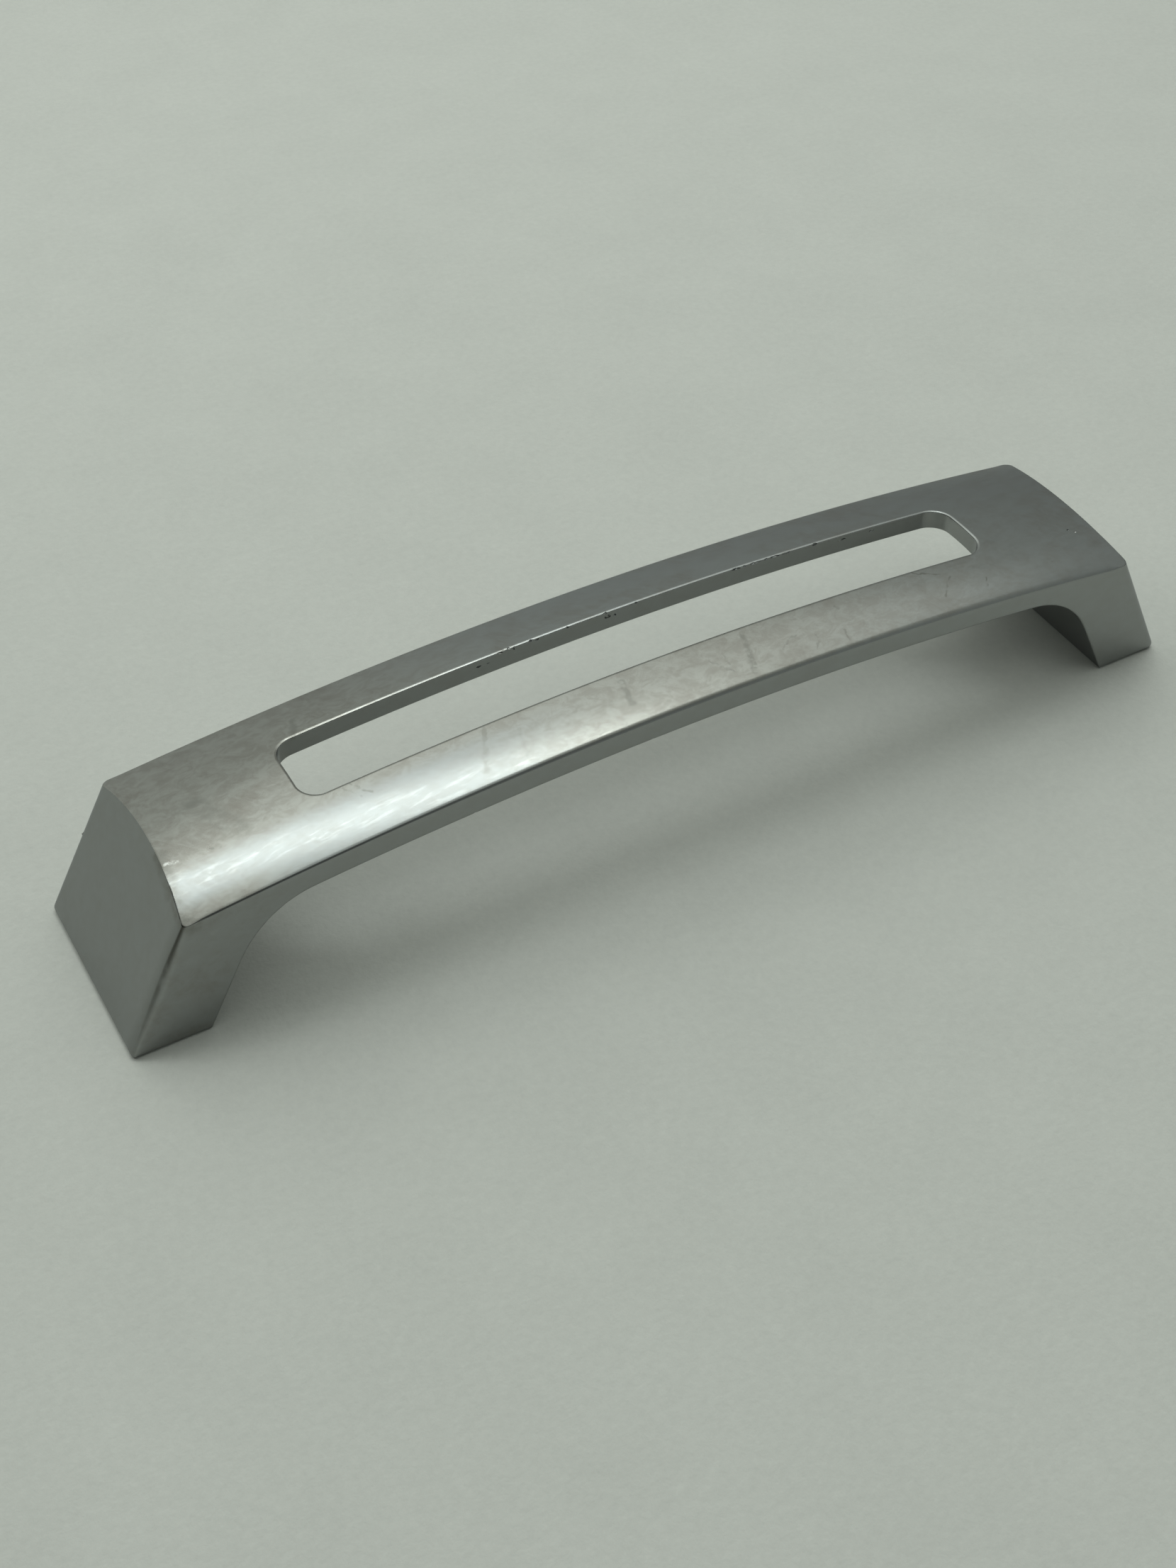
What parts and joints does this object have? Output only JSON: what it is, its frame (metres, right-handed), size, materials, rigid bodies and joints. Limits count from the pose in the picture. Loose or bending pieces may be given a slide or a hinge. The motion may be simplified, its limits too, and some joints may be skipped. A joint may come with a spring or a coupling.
{
  "type": "curved cabinet handle",
  "caption": "One-piece arched bow handle with leaning feet, crowned top and a long slot through the bar, tapped from behind for two screws.",
  "frame": {"origin": "midway between the two fixing holes, on the mounting face that the feet stand on", "axes": "+X along the handle, +Y across it, +Z away from the door, out of the mounting face"},
  "size_m": [0.1402, 0.0252, 0.0221],
  "materials": {
    "satin_metal": "satin chrome plate on a zinc casting, worn, with fine scratches, smudges and small nicks"
  },
  "bodies": {
    "root": {"cabinet_handle": "satin_metal"}
  },
  "joints": []
}
